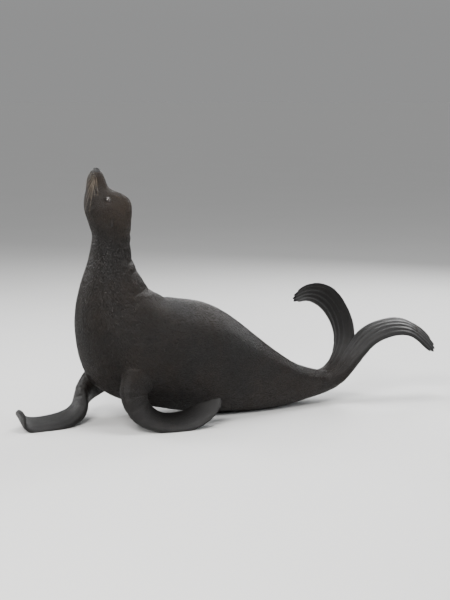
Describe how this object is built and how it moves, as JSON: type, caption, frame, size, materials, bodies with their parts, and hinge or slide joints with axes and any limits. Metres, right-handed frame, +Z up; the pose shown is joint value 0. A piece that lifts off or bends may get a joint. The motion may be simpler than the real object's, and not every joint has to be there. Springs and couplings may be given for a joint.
{
  "type": "california sea lion, life-size museum model",
  "caption": "Life-size still model of an adult male California sea lion, propped on its belly and fore flippers, neck stretched up and hind flippers raised.",
  "frame": {"origin": "middle of the animal's box on the floor it rests on", "axes": "-X the way the animal faces, -Y its left side, +Z up"},
  "size_m": [2.46, 0.7102, 1.3562],
  "materials": {
    "coat": "short wet glossy fur, near-black brown",
    "skin": "bare black leathery skin, satin",
    "nose": "moist pebbled black skin",
    "eye": "polished dark brown eye",
    "horn": "dark horn, satin",
    "whisker": "stiff pale whiskers"
  },
  "bodies": {
    "root": {"nose": "nose", "head": "coat", "neck": "coat", "trunk": "coat", "tail": "coat", "fore_flipper_left": "skin", "fore_flipper_right": "skin", "hind_flipper_left": "skin", "hind_flipper_right": "skin", "ear_left": "skin", "ear_right": "skin", "eye_left": "eye", "eye_right": "eye", "nail_left_1": "horn", "nail_left_2": "horn", "nail_left_3": "horn", "nail_right_1": "horn", "nail_right_2": "horn", "nail_right_3": "horn"}
  },
  "joints": []
}
